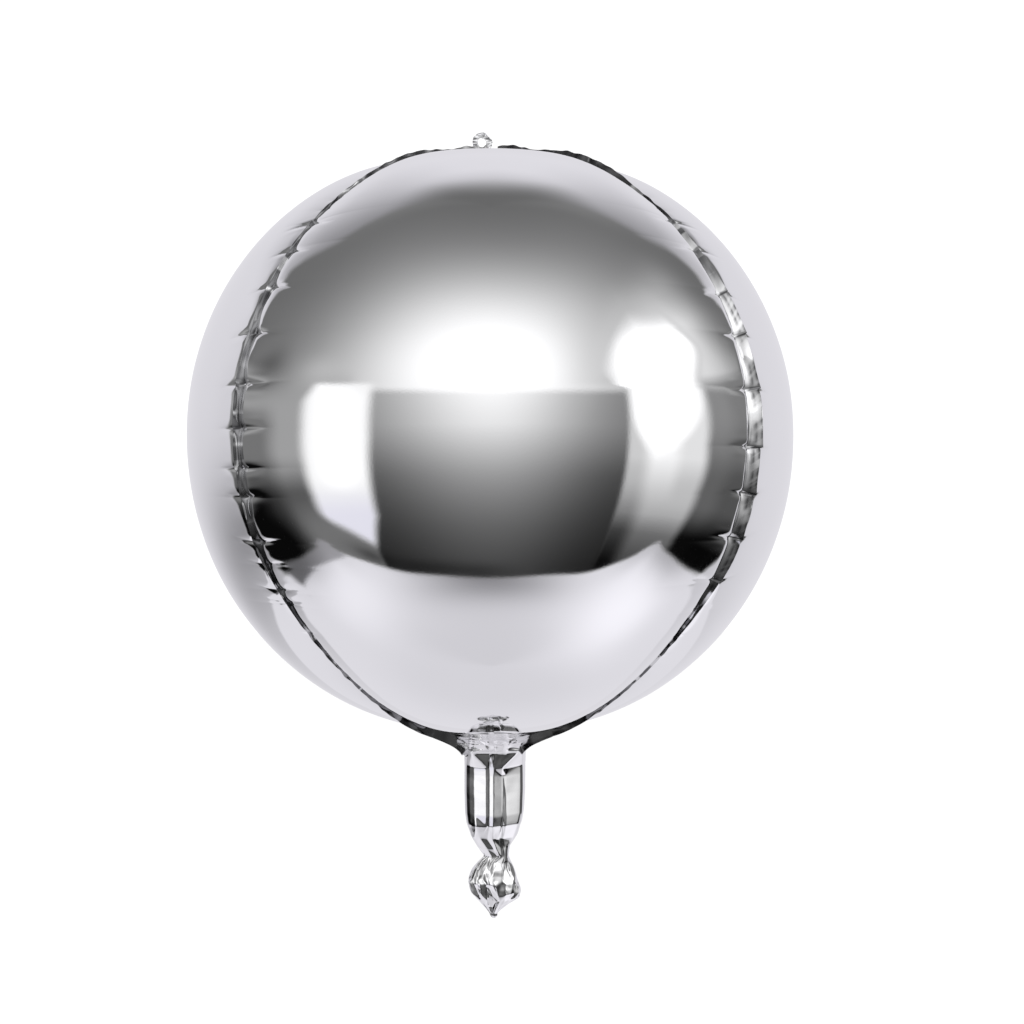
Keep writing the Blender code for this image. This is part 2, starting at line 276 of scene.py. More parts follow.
def panel_rows():
    """Latitudes from the crown down to the collar, close round the middle."""
    lats = [LAT_HIGH]
    while lats[-1] > LAT_LOW:
        a = abs(lats[-1])
        lats.append(lats[-1] - (0.20 if a < 46 else 0.20 + 0.25 * min(1.0, (a - 46) / 12)))
    lats = np.array(lats)
    keep = (len(lats) - 1) // STEP * STEP + 1
    return np.interp(np.linspace(0, 1, keep), np.linspace(0, 1, len(lats)), lats) \
        * (LAT_HIGH - LAT_LOW) / (LAT_HIGH - lats[-1]) + LAT_HIGH * (1 - (LAT_HIGH - LAT_LOW) / (LAT_HIGH - lats[-1]))


def panel_points(azimuth, lats, g, inner):
    """Points of a panel at latitudes and cross positions g from -1 to 1."""
    lat = lats[:, None] * np.ones(len(g))[None, :]
    gg = np.ones(len(lats))[:, None] * g[None, :]
    r = ball_radius(lat, gg)
    depth = WALL if inner else 0.0
    gap = 0.00012
    half = np.radians(45) - np.arcsin(gap / ((r - depth) * np.cos(np.radians(lat))))
    a = gg * half
    rho = r * np.cos(np.radians(lat))
    if not inner:
        for side in (-1, 1):
            seam = int(round((azimuth + side * 45 + 180) % 360 - 180))
            d = rho * np.sin(np.radians(45) - side * a).clip(0)
            r = r - seam_dip(seam, lat, d)
    r = r - depth
    az = a + np.radians(azimuth)
    way = np.stack([np.cos(np.radians(lat)) * np.sin(az),
                    -np.cos(np.radians(lat)) * np.cos(az), np.sin(np.radians(lat))], -1)
    if not inner:
        rim = smooth(lat, LAT_LOW, LAT_LOW + 8) * smooth(lat, LAT_HIGH, LAT_HIGH - 8)
        r = r + slack(way * BALL_R) * rim * smooth(np.abs(gg), 1.0, 0.93)
    return way * r[..., None]


def build_panel(name, azimuth):
    half = spacing(0, [(0.35, 2), (0.45, 3), (0.6, 3), (0.8, 3), (1.1, 3), (1.6, 3), (2.4, 3),
                       (3.6, 4), (5.0, 4), (7.0, 12)])
    half = half / half[-1]
    g = np.concatenate([-1 + half, (1 - half)[::-1][1:]])
    extra = (len(g) - 1) % STEP
    assert extra == 0, len(g)
    lats = panel_rows()
    outer = panel_points(azimuth, lats, g, False)
    coarse = panel_points(azimuth, lats[::STEP], g[::STEP], True)
    rows, cols = outer.shape[:2]
    rows2, cols2 = coarse.shape[:2]
    verts = np.concatenate([outer.reshape(-1, 3), coarse.reshape(-1, 3)])
    start = rows * cols
    faces = [grid_faces(rows, cols), grid_faces(rows2, cols2, start=start)[:, ::-1]]
    ring, ring2 = border(rows, cols), border(rows2, cols2) + start
    n = len(ring2)
    tris = []
    for i in range(n):
        a, b = ring2[i], ring2[(i + 1) % n]
        f = [ring[(STEP * i + k) % len(ring)] for k in range(STEP + 1)]
        for k in range(STEP):
            tris.append((f[k], f[k + 1], a if k < STEP // 2 else b))
        tris.append((f[STEP // 2], b, a))
    faces.append(np.array(tris)[:, ::-1])
    sharp = np.zeros(len(verts), bool)
    sharp[ring] = True
    sharp[ring2] = True
    return make_mesh(name, verts, faces, sharp)


# --------------------------------------------------------------------- flanges
FILLET_FRONT = [(0.0, 0.0516, -0.1802), (0.25, 0.0440, -0.1828), (0.45, 0.0370, -0.1856),
                (0.62, 0.0306, -0.1884), (0.76, 0.0254, -0.1912), (0.88, 0.0212, -0.1942),
                (1.0, 0.0182, -0.1972)]
FILLET_SIDE = [(0.0, 0.0516, -0.1802), (0.25, 0.0448, -0.1832), (0.45, 0.0388, -0.1858),
               (0.62, 0.0336, -0.1886), (0.76, 0.0292, -0.1916), (0.88, 0.0250, -0.1952),
               (1.0, 0.0218, -0.1990)]


def fillet(t, azimuth):
    """Radius and height along the gathered collar, t from 0 at its rim."""
    side = smooth(np.abs(np.sin(azimuth)), 0.50, 0.96)
    both = []
    for k in (1, 2):
        front = read([(r[0], r[k]) for r in FILLET_FRONT], t)
        flank = read([(r[0], r[k]) for r in FILLET_SIDE], t)
        both.append(front + (flank - front) * side)
    return both


def build_flange(name, seam):
    """Seal flange: a thin strip of two foils, waved by the puckers."""
    rng = np.random.default_rng(int(seam) + 900)
    lat = np.concatenate([np.arange(LAT_HIGH + 2.6, 46, -0.34), np.arange(46, -46, -0.19),
                          np.arange(-46, LAT_LOW, -0.34)])
    base = ball_radius(lat, 1.0) - seam_dip(seam, lat, np.zeros_like(lat))
    base = np.minimum(base, ball_radius(lat, 1.0) + 0.0004)
    rad = np.radians(lat)
    rho, z = ball_radius(lat, 1.0) * np.cos(rad), ball_radius(lat, 1.0) * np.sin(rad)
    out = np.stack([np.cos(rad), np.sin(rad)], -1)
    # on round the gathered collar to the neck
    t = np.linspace(0.03, 1.0, 40)
    fr, fz = fillet(t, np.radians(45))
    on = np.linspace(0.0, 1.0, 20)[1:]
    fr = np.concatenate([fr, fr[-1] - 0.0012 * smooth(on, 0, 0.7)])
    fz = np.concatenate([fz, fz[-1] - 0.0085 * on])
    t = np.concatenate([t, 1.0 + on])
    aside = np.sign(seam) * (1 if abs(seam) < 90 else -1) * np.radians(20) * smooth(t, 0.55, 1.8)
    aside = np.concatenate([np.zeros(len(lat)), aside])
    way = np.stack([np.gradient(fr, t), np.gradient(fz, t)], -1)
    way /= np.linalg.norm(way, axis=1)[:, None]
    nrm = np.stack([-way[:, 1], way[:, 0]], -1)
    nrm *= np.sign(-nrm[:, 1])[:, None]
    rho, z = np.concatenate([rho, fr]), np.concatenate([z, fz])
    out = np.concatenate([out, nrm])
    path = np.stack([rho, z], -1)
    s = np.concatenate([[0], np.cumsum(np.linalg.norm(np.diff(path, axis=0), axis=1))])
    whole = np.concatenate([lat, LAT_LOW - 12 * t])       # goes on past -90 along the neck
    size = read(FLANGE[int(seam)], whole)
    size *= smooth(whole, LAT_LOW - 24, LAT_LOW - 11) * 0.94 + 0.06
    nodes, shape = lobes(seam)
    i, t, pitch = along(nodes, np.clip(whole, nodes[0, 0], nodes[-1, 0]))
    force = nodes[i, 1] * (1 - t) + nodes[i + 1, 1] * t
    big = np.clip(pitch / 0.026, 0.2, 1.0)
    bow = np.sin(np.pi * t) ** 0.7
    part = np.minimum(size, 0.0062) / 0.0062 * smooth(whole, 80, 74) * smooth(whole, -76, -70)
    lean = part * (shape[i, 1] * 0.0014 * big * bow + 0.0008 * big * shape[i, 2] * (t - 0.5) * bow ** 0.3)
    # the edge stands out most just above the lower pucker of each lobe
    size = size + part * big * force * (0.0014 * (1 - t) ** 5 - 0.0008 * np.exp(-(1 - t) * pitch / 0.0016)
                                        + 0.0003 * bow)
    # a shallow, quicker wave on the narrow parts
    wide = smooth(np.abs(whole), 30, 42) * (0.6 + 0.4 * smooth(whole, 74, 80) - 0.5 * smooth(whole, -60, -70))
    for k in range(4):
        wave = 0.011 + 0.0035 * k
        lean += wide * 0.00022 * np.sin(2 * np.pi * (s / wave + rng.random()))
        size += wide * 0.00016 * np.sin(2 * np.pi * (s / (wave * 0.8) + rng.random()))
    q = np.array([-0.0052, -0.0030, -0.0018, -0.0009, -0.0002, 0.0, 0.0, 0.0, 0.0, 0.0, 0.0, 0.0, 0.0, 0.0])
    f = np.array([0, 0, 0, 0, 0, 0.04, 0.14, 0.26, 0.40, 0.54, 0.68, 0.81, 0.92, 1.0])
    dip = np.zeros_like(whole)
    dip[:len(lat)] = seam_dip(seam, lat, np.zeros_like(lat))
    height = q[None, :] + f[None, :] * size[:, None] - dip[:, None] * (1 - f[None, :])
    curl = 0.00045 * np.sin(2 * np.pi * s / 0.031 + rng.random() * 6) + 0.0003 * np.sin(2 * np.pi * s / 0.019)
    bend = np.where(f > 0, (f ** 1.25), 0.0)[None, :] * lean[:, None]
    bend += np.where(f > 0, np.sin(np.pi * f), 0)[None, :] * (curl * part)[:, None]
    turned = {45: 54, -45: -18, 135: -26, -135: 30}[int(seam)] * smooth(np.abs(whole), 66, 44)
    turned = np.radians(turned)[:, None] * smooth(f, 0.0, 0.14)[None, :] * np.where(q < 0, 0.0, 1.0)[None, :]
    reach = (f[None, :] * size[:, None]).clip(0)
    bend += reach * np.sin(turned)
    height -= reach * (1.0 - np.cos(turned))
    thick = np.where(f < 0.9, 0.00028, 0.00020)[None, :] * np.ones(len(whole))[:, None]
    a = (np.radians(seam) + aside)[:, None]
    zero = np.zeros_like(a)
    tangent = np.stack([np.cos(a), np.sin(a), zero], -1)
    radial = np.stack([np.sin(a), -np.cos(a), zero], -1)
    up = np.array([0.0, 0.0, 1.0])
    mid = (path[:, None, :] + out[:, None, :] * height[..., None])
    centre = mid[..., 0:1] * radial + mid[..., 1:2] * up + bend[..., None] * tangent
    right = centre + thick[..., None] / 2 * tangent
    left = centre - thick[..., None] / 2 * tangent
    ring = np.concatenate([right, left[:, ::-1]], 1)
    rows, cols = ring.shape[:2]
    verts = ring.reshape(-1, 3)
    faces = [grid_faces(rows, cols, closed=True)]
    k = len(q)
    caps = []
    for r, flip in ((0, False), (rows - 1, True)):
        for j in range(k - 1):
            quad = [r * cols + j, r * cols + j + 1, r * cols + cols - 2 - j, r * cols + cols - 1 - j]
            caps.append(quad[::-1] if flip else quad)
    faces.append(np.array(caps))
    sharp = np.zeros((rows, cols), bool)
    sharp[:, [0, k - 1, k, cols - 1]] = True
    obj = make_mesh(name, verts, faces, None)
    # painted shade: darkness of the seal's creases, folds and groove, kept per point for the seam material
    dark = seal_painted_shade(seam, whole, s, f, nodes)
    dark = np.concatenate([dark, dark[:, ::-1]], 1).reshape(-1).astype(np.float32)
    attr = obj.data.attributes.new("crease", "FLOAT", "POINT")
    attr.data.foreach_set("value", dark)
    return face_out(obj)


def wander(x, step, rng):
    """Smooth random values from 0 to 1 along a line."""
    knots = np.arange(x.min() - step, x.max() + 2 * step, step)
    return np.interp(x, knots, rng.random(len(knots)))


def seal_painted_shade(seam, whole, s, f, nodes):
    """Painted shade on the seal: how dark its creases, folds, pucker feet and groove are painted, 0 bright, 1 darkest.
    """
    rng = np.random.default_rng(int(seam) + 1040)
    tight = smooth(np.abs(whole), 22, 31) if seam != -45 else 0.75 + 0.25 * smooth(np.abs(whole), 8, 20)
    often = 0.80 - 0.22 * smooth(np.abs(whole), 56, 50) * smooth(np.abs(whole), 24, 30) * (seam != -45)
    gaps = smooth(wander(s, 0.0042, rng) - often, 0.0, 0.13) * smooth(np.abs(whole), 72, 60)
    vary = (0.75 + 0.25 * wander(s, 0.0060, rng)) * (1.0 - 0.62 * smooth(whole, -73, -86))
    if seam == -45:
        vary = vary * (1.0 - 0.7 * smooth(whole, 78, 82))
    if seam == 45:
        vary = vary * (1.0 - 0.55 * smooth(whole, -69, -77))
    # painted shade along the tight parts of the seal, broken by brighter gaps
    painted_shade = (vary * (1.0 - 0.85 * gaps))[:, None] * np.ones(len(f))[None, :]
    one = 0.34 + 0.16 * (wander(s, 0.011, rng) - 0.5)
    two = 0.70 + 0.14 * (wander(s, 0.009, rng) - 0.5)
    deep1, deep2, deep3 = (smooth(wander(s, 0.010, rng), 0.15, 0.65) for _ in range(3))
    # painted shade in dark lines along the flange, where its folds lie in shade
    shade_lines = np.maximum(deep1[:, None] * np.exp(-((f[None, :] - one[:, None]) / 0.085) ** 2),
                       deep2[:, None] * np.exp(-((f[None, :] - two[:, None]) / 0.075) ** 2))
    shade_lines = np.maximum(shade_lines, 0.9 * deep3[:, None] * smooth(f, 0.90, 0.97)[None, :])
    shade_lines = np.maximum(shade_lines, 0.55 * smooth(f, 0.10, 0.02)[None, :])
    # on the front right seal the painted shade falls in slanting dashes
    if seam == 45:
        slant = s[:, None] + 0.0055 * f[None, :]
        dash = 1.0 - 0.85 * smooth(wander(slant, 0.0034, rng), 0.45, 0.85)
        fine = smooth(wander(slant * 1.0, 0.0013, rng), 0.05, 0.60)
        shade_lines = dash * (0.45 + 0.55 * fine) * (smooth(f, 0.30, 0.48) * (1.0 - 0.8 * np.exp(-((f - 0.74) / 0.09) ** 2)))[None, :]
    # painted shadow in the folds at each pucker
    fold_shadow = np.zeros(len(whole))
    for lat_n, force in nodes:
        gap = np.abs(whole - lat_n) * np.pi / 180 * BALL_R
        fold_shadow = np.maximum(fold_shadow, min(1.0, force) * smooth(gap, 0.0016, 0.0006))
    shade_lines = np.maximum(shade_lines, fold_shadow[:, None] * smooth(f, 0.15, 0.4)[None, :])
    return shade_lines * 0.85 * (1 - tight)[:, None] + painted_shade * tight[:, None]


def face_out(obj, angle=50):
    """Turns the faces of a closed mesh outwards and sets its sharp edges."""
    import bmesh
    bm = bmesh.new()
    bm.from_mesh(obj.data)
    bmesh.ops.recalc_face_normals(bm, faces=bm.faces)
    if bm.calc_volume(signed=True) < 0:
        bmesh.ops.reverse_faces(bm, faces=bm.faces)
    bm.to_mesh(obj.data)
    bm.free()
    obj.data.shade_smooth()
    obj.data.set_sharp_from_angle(angle=math.radians(angle))
    return obj


# ------------------------------------------- collar, neck, twist and tail end
def mm(*values):
    return tuple(v / 1000.0 for v in values)


# Net of the tube below the collar. Each row: height, then the front of the
# section as (across, towards the front) from the left outline to the right
# one, then depth of its back half; all in millimetres.
ROWS = [
    (-199.6, [(-17.6, -1.5), (-16.9, 5.5), (-15.6, 10.8), (-13.6, 14.6), (-1.9, 15.3), (-1.6, 15.2),
              (1.6, 16.0), (2.2, 16.2), (6.2, 15.9), (10.0, 15.6), (16.6, 14.8), (19.9, 11.0),
              (21.8, 6.0), (23.0, -4.4)], 16.4),
    (-201.2, [(-17.8, -1.5), (-17.0, 5.0), (-15.7, 9.8), (-12.9, 13.5), (-1.9, 14.0), (-1.6, 13.9),
              (1.8, 15.4), (2.2, 15.4), (6.2, 14.9), (10.0, 14.5), (16.6, 13.8), (19.6, 10.4),
              (21.5, 5.4), (22.8, -4.4)], 15.6),
    (-211.5, [(-17.8, -1.5), (-16.5, 3.6), (-14.5, 5.8), (-11.3, 8.3), (-3.2, 12.0), (-2.0, 11.6),
              (0.8, 13.0), (1.2, 13.2), (5.2, 12.8), (6.6, 12.6), (9.15, 10.0), (18.6, 3.6),
              (20.5, 1.6), (22.45, -4.6)], 14.8),
    (-216.5, [(-17.8, -1.5), (-16.5, 3.4), (-14.5, 5.5), (-11.3, 8.0), (-3.2, 11.8), (-1.9, 11.4),
              (0.8, 12.65), (1.2, 12.6), (6.2, 10.6), (7.2, 9.9), (9.15, 8.9), (18.6, 3.1),
              (20.5, 1.2), (22.45, -4.6)], 14.4),
    (-230.0, [(-17.8, -1.5), (-16.5, 3.35), (-14.5, 5.44), (-11.3, 7.98), (-3.2, 11.76), (-1.9, 11.3),
              (0.8, 12.6), (1.2, 12.6), (6.2, 10.5), (7.2, 9.9), (9.15, 9.5), (18.6, 3.9),
              (20.5, 1.8), (22.3, -4.4)], 14.2),
    (-243.0, [(-17.4, -1.4), (-16.1, 3.4), (-14.1, 5.5), (-11.1, 8.0), (-3.2, 11.8), (-1.9, 11.3),
              (0.8, 12.6), (1.2, 12.5), (6.1, 10.3), (7.1, 9.9), (9.1, 10.3), (18.2, 4.9),
              (20.1, 2.6), (21.5, -4.0)], 13.8),
    (-249.5, [(-16.5, -1.2), (-15.3, 3.3), (-13.5, 5.6), (-10.6, 8.5), (-3.4, 10.7), (-2.2, 10.4),
              (0.5, 11.7), (1.0, 11.6), (5.8, 9.5), (6.7, 9.4), (8.7, 10.2), (17.0, 5.0),
              (18.9, 2.6), (20.2, -3.6)], 12.6),
    (-258.7, [(-13.6, -1.4), (-13.0, 1.6), (-12.2, 3.0), (-11.0, 4.4), (-7.5, 6.3), (-3.0, 6.5),
              (0.3, 8.1), (1.0, 8.0), (4.2, 6.9), (5.2, 6.3), (7.4, 5.8), (13.8, 2.3),
              (15.6, 0.8), (17.0, -3.0)], 9.6),
    (-265.5, [(-9.4, -0.8), (-9.0, 1.2), (-8.2, 2.2), (-6.8, 3.3), (-3.2, 5.0), (1.0, 5.2),
              (3.0, 6.3), (3.6, 6.2), (5.8, 5.1), (6.8, 4.7), (8.6, 4.0), (10.6, 2.4),
              (11.6, 0.8), (12.3, -2.0)], 7.4),
    (-271.5, [(-4.9, 0.0), (-4.5, 1.0), (-3.8, 1.6), (-2.4, 2.4), (0.3, 3.7), (3.2, 3.9),
              (4.6, 4.9), (5.0, 4.9), (6.4, 4.4), (7.2, 4.4), (8.6, 4.1), (10.4, 2.4),
              (10.9, 1.2), (11.2, -0.6)], 5.6),
]
# Rows of the flared tail: height, left and right outline, how far the middle of
# the front stands out, depth of the back, millimetres.
TAIL_ROWS = [(-275.2, -8.7, 12.7, 5.3, 4.8), (-280.5, -12.7, 14.8, 6.8, 4.9),
             (-286.0, -15.1, 16.6, 8.2, 5.4), (-288.8, -15.5, 17.6, 8.7, 5.7),
             (-295.7, -13.2, 19.6, 7.6, 5.4), (-300.0, -9.8, 18.0, 5.9, 4.8),
             (-305.0, -5.0, 9.6, 3.9, 3.6), (-309.5, -1.5, 4.0, 2.5, 2.4),
             (-311.4, -0.9, 4.0, 2.5, 2.2), (-312.6, 0.4, 2.6, 1.2, 1.0)]
# The tail's own section at its widest, across from 0 to 1 and towards the front.
TAIL_FRONT = [(0.0, -0.06), (0.036, 0.31), (0.117, 0.29), (0.190, 0.52), (0.274, 0.565),
              (0.357, 0.745), (0.424, 0.825), (0.494, 0.965), (0.546, 1.0), (0.677, 0.94),
              (0.753, 0.755), (0.872, 0.45), (0.930, 0.375), (1.0, -0.07)]
BACK = [(0.965, 0.46), (0.905, 0.74), (0.780, 0.82), (0.655, 1.02), (0.545, 0.90), (0.440, 1.04),
        (0.325, 0.86), (0.215, 0.90), (0.105, 0.62), (0.045, 0.50)]
COLLAR_ROWS = 12


def tube_cage():
    """Coarse net of the whole tube: rows of corner points round the axis."""
    rng = np.random.default_rng(41)
    below = []
    for z, front, deep in ROWS:
        below.append((z, np.array(front, float), deep))
    for z, left, right, out, deep in TAIL_ROWS:
        own = np.array(TAIL_FRONT)
        below.append((z, np.stack([left + (right - left) * own[:, 0], out * own[:, 1]], -1), deep))
    full = []
    for k, (z, front, deep) in enumerate(below):
        if 10 <= k <= 16:
            front = front + rng.normal(size=front.shape).clip(-1.5, 1.5) * np.array([0.45, 0.42])
            front[[0, -1]] = below[k][1][[0, -1]]
        left, right = front[0, 0], front[-1, 0]
        back = np.array(BACK) * np.array([right - left, -deep]) + np.array([left, 0.0])
        loose = min(1.0, (right - left) / 30.0)
        back += rng.normal(size=back.shape) * (0.30 if k > 6 else 0.16) * loose
        ring = np.concatenate([front, back])
        zz = np.full(len(ring), z)
        calm = 0.12 if k <= 6 else 0.45
        zz[len(front):] += calm * loose * rng.normal(size=len(back))
        full.append(np.stack([ring[:, 0], -ring[:, 1], zz], -1) / 1000.0)
    n = len(full[0])
    middle = np.array([0.0024, 0.0])
    angle = np.arctan2(full[1][:, 0] - middle[0], -full[1][:, 1])
    pleat = np.where(np.arange(n) % 2 == 0, 1.0, -1.0) * (0.6 + 0.8 * rng.random(n))
    rows = []
    for i in range(COLLAR_ROWS):
        t = i / (COLLAR_ROWS - 1.0)
        spread = 1.0 - t ** 1.5
        # columns start evenly round the rim and gather to the neck's corners
        even = np.linspace(-math.pi, math.pi, n, endpoint=False) + math.pi / n
        order = np.sort(angle)
        a = (order + (even - order) * spread)[np.argsort(np.argsort(angle))]
        rho, z = fillet(np.full(n, t), a)
        grow = smooth(t, 0.25, 1.0)
        rho = rho + 0.0008 * pleat * grow + 0.0004 * grow * rng.normal(size=n)
        z = z + 0.0004 * grow * rng.normal(size=n)
        shift = 0.0024 * smooth(t, 0.1, 1.0)
        rows.append(np.stack([shift + rho * np.sin(a), -rho * np.cos(a), z], -1))
    return np.array(rows + full)


def refine(cage, steps, across, rng, fixed=()):
    """Flat triangles between the corners of a net, read on a finer grid."""
    n = cage.shape[1]
    out = []
    diag = rng.random((cage.shape[0] - 1, n)) < 0.5
    for row, col, way in fixed:
        diag[row, col] = way
    for i, k in enumerate(steps):
        p, q = cage[i], cage[i + 1]
        p1, q1 = np.roll(p, -1, 0), np.roll(q, -1, 0)
        for a in range(k):
            a = a / k
            line = []
            for b in range(across):
                b = b / across
                if a + b <= 1:
                    one = p + a * (q - p) + b * (p1 - p)
                else:
                    one = q1 + (1 - a) * (p1 - q1) + (1 - b) * (q - q1)
                if a >= b:
                    two = p + a * (q - p) + b * (q1 - q)
                else:
                    two = p + b * (p1 - p) + a * (q1 - p1)
                line.append(np.where(diag[i][:, None], one, two))
            out.append(np.stack(line, 1).reshape(-1, cage.shape[2]))
    out.append(np.repeat(cage[-1][:, None], across, 1).reshape(-1, cage.shape[2]) * 0
               + (cage[-1][:, None] + (np.arange(across) / across)[None, :, None]
                  * (np.roll(cage[-1], -1, 0) - cage[-1])[:, None]).reshape(-1, cage.shape[2]))
    return np.array(out)


def soften(grid, passes, keep_ends=True):
    """Rounds the creases of a grid that is closed across."""
    for _ in range(passes):
        g = (np.roll(grid, 1, 1) + 2 * grid + np.roll(grid, -1, 1)) / 4
        h = g.copy()
        h[1:-1] = (g[:-2] + 2 * g[1:-1] + g[2:]) / 4
        if keep_ends:
            h[0], h[-1] = grid[0], g[-1]
        grid = h
    return grid


def tube_grid():
    rng = np.random.default_rng(43)
    cage = tube_cage()
    steps = []
    for a, b in zip(cage, cage[1:]):
        steps.append(max(3, int(round(np.linalg.norm(a - b, axis=1).mean() / 0.00055))))
    across = 9
    top = COLLAR_ROWS + 1                   # the row where the neck's folds begin
    fixed = [(top, 3, False), (top, 4, False), (top, 9, True), (top, 10, True)]
    fixed += [(top + k, c, c % 2 == 0) for k in range(1, 7) for c in range(13)]
    flat = refine(cage, steps, across, rng, fixed)
    # small crumples: a second, finer net of dents
    rows, cols = flat.shape[:2]
    dents = np.zeros((rows, cols))
    for cell_r, cell_c, size in ((9, 12, 0.00026), (5, 6, 0.00007)):
        nr, nc = rows // cell_r + 2, cols // cell_c
        net = rng.normal(size=(nr, nc, 1)).clip(-1.6, 1.6)
        fine = refine(net, [cell_r] * (nr - 1), cell_c, rng)[:rows, :, 0]
        dents += size * fine[:, :cols]
    cum = np.concatenate([[0], np.cumsum(steps)])
    first = cum[COLLAR_ROWS - 1]
    grow = smooth(np.arange(rows), 0.35 * first, first)
    level = flat[:, :, 2].mean(1)
    calm = 1.0 - 0.62 * smooth(level, -0.2000, -0.2040) - 0.25 * smooth(level, -0.2085, -0.213) * smooth(level, -0.249, -0.243)
    calm = calm + 0.50 * smooth(level, -0.262, -0.272)
    tip = smooth(flat[:, :, 2].mean(1), -0.312, -0.304)
    flat = soften(flat, 1)
    ds = np.roll(flat, -1, 1) - np.roll(flat, 1, 1)
    dt = np.gradient(flat, axis=0)
    nrm = np.cross(dt, ds)
    nrm /= np.maximum(np.linalg.norm(nrm, axis=-1, keepdims=True), 1e-9)
    flat = flat + nrm * (dents * (grow * calm * tip)[:, None])[..., None]
    flat = soften(flat, 1)
    # the rim of the collar is smooth foil that runs on from the panels
    a = np.arctan2(flat[:, :, 0], -flat[:, :, 1])
    t = np.clip(np.interp(np.arange(rows), cum[:COLLAR_ROWS], np.linspace(0, 1, COLLAR_ROWS)), 0, 1)
    soft = 1.0 - smooth(t, 0.12, 0.62)
    rho, z = fillet(t[:, None] * np.ones(cols)[None, :], a)
    plain = np.stack([rho * np.sin(a), -rho * np.cos(a), z], -1)
    lat = np.full(cols, LAT_LOW)
    u = ((np.degrees(a[0]) + 45) % 90 - 45) / 45
    r = ball_radius(lat, u)
    edge = np.stack([r * np.cos(np.radians(lat)) * np.sin(a[0]),
                     -r * np.cos(np.radians(lat)) * np.cos(a[0]), r * np.sin(np.radians(lat))], -1)
    plain = plain + (edge - plain[0])[None] * smooth(t, 0.35, 0.0)[:, None, None]
    mixed = flat + (plain - flat) * soft[:, None, None]
    return mixed, cum


def build_tube():
    grid, cum = tube_grid()
    cuts = {"neck_collar": (0, cum[COLLAR_ROWS + 1]),
            "filling_neck": (cum[COLLAR_ROWS + 1], cum[COLLAR_ROWS + 8]),
            "neck_twist": (cum[COLLAR_ROWS + 8], cum[COLLAR_ROWS + 10]),
            "tail_end": (cum[COLLAR_ROWS + 10], len(grid) - 1)}
    pieces = []
    cols = grid.shape[1]
    for name, (lo, hi) in cuts.items():
        part = grid[lo:hi + 1]
        rows = len(part)
        verts = [part.reshape(-1, 3)]
        faces = [grid_faces(rows, cols, closed=True)]
        total = rows * cols
        sharp_rows = []
        for r, flip in ((0, False), (rows - 1, True)):
            ring = part[r]
            centre = ring.mean(0)
            if name == "neck_collar" and r == 0:
                # a wall's thickness below the rim, so the cap stays inside the ball
                inner = ring * np.array([0.80, 0.80, 1.0]) + np.array([0, 0, WALL])
                verts.append(inner)
                k = np.arange(cols)
                quads = np.stack([k, (k + 1) % cols, total + (k + 1) % cols, total + k], -1)
                faces.append(quads)
                verts.append(inner.mean(0)[None])
                faces.append(np.stack([total + k, total + (k + 1) % cols,
                                       np.full(cols, total + cols)], -1))
                total += cols + 1
            else:
                verts.append(centre[None])
                k = np.arange(cols)
                tri = np.stack([r * cols + k, r * cols + (k + 1) % cols, np.full(cols, total)], -1)
                faces.append(tri[:, ::-1] if flip else tri)
                total += 1
        obj = make_mesh(name + "_foil", np.concatenate(verts), faces)
        face_out(obj, 62)
        pieces.append((obj, name))
    return pieces


# --------------------------------------------------------- crown and hang tab
def build_crown():
    """Gathered foil that closes the top: pleats that rise to a low stem."""
    rng = np.random.default_rng(61)
    rings, cols = 44, 288
    a = np.linspace(-math.pi, math.pi, cols, endpoint=False)
    t = np.linspace(0.0, 1.0, rings)
    u = ((np.degrees(a) + 45) % 90 - 45) / 45
    lat = np.full(cols, LAT_HIGH)
    r_edge = ball_radius(lat, u)
    rho0, z0 = r_edge * np.cos(np.radians(lat)), r_edge * np.sin(np.radians(lat))
    rho = rho0[None, :] * (1 - t[:, None])
    # flat at the rim, then up to the stem that carries the tab
    stem = np.hypot(rho * np.sin(a)[None, :] + 0.0040, rho * np.cos(a)[None, :])
    rise = 0.0068 * smooth(stem, 0.0094, 0.0030)
    z = z0[None, :] + 0.0006 * smooth(t, 0.0, 0.3)[:, None] + rise
    pleats = np.zeros(cols)
    for k in range(5):
        count = (5, 8, 11, 15, 22)[k]
        pleats += np.cos(count * a + 6.3 * rng.random()) * (0.5, 0.6, 0.5, 0.35, 0.2)[k]
    pleats = np.abs(pleats) ** 0.8 * np.sign(pleats)
    z = z + 0.0011 * pleats[None, :] * (smooth(t, 0.08, 0.45) * smooth(t, 1.0, 0.75))[:, None]
    for seam in (45, -45, 135, -135):
        gap = (np.degrees(a) - seam + 180) % 360 - 180
        z = z + 0.0024 * np.exp(-(np.radians(gap)[None, :] * rho / 0.0011) ** 2) * smooth(t, 0.05, 0.4)[:, None] * smooth(t, 1.0, 0.6)[:, None]
    x, y = rho * np.sin(a)[None, :], -rho * np.cos(a)[None, :]
    top = np.stack([x, y, z], -1)
    verts = [top[:-1].reshape(-1, 3), np.array([[0, 0, z[-1].mean()]])]
    rows = rings - 1
    faces = [grid_faces(rows, cols, closed=True)]
    k = np.arange(cols)
    faces.append(np.stack([(rows - 1) * cols + k, np.full(cols, rows * cols), (rows - 1) * cols + (k + 1) % cols], -1))
    under = top[0] * np.array([0.97, 0.97, 1.0]) - np.array([0, 0, 0.007])
    start = rows * cols + 1
    verts.append(under)
    verts.append(under.mean(0)[None])
    faces.append(np.stack([k, start + k, start + (k + 1) % cols, (k + 1) % cols], -1))
    faces.append(np.stack([start + k, start + (k + 1) % cols, np.full(cols, start + cols)], -1))
    obj = make_mesh("crown_gather_foil", np.concatenate(verts), faces)
    return face_out(obj, 55)


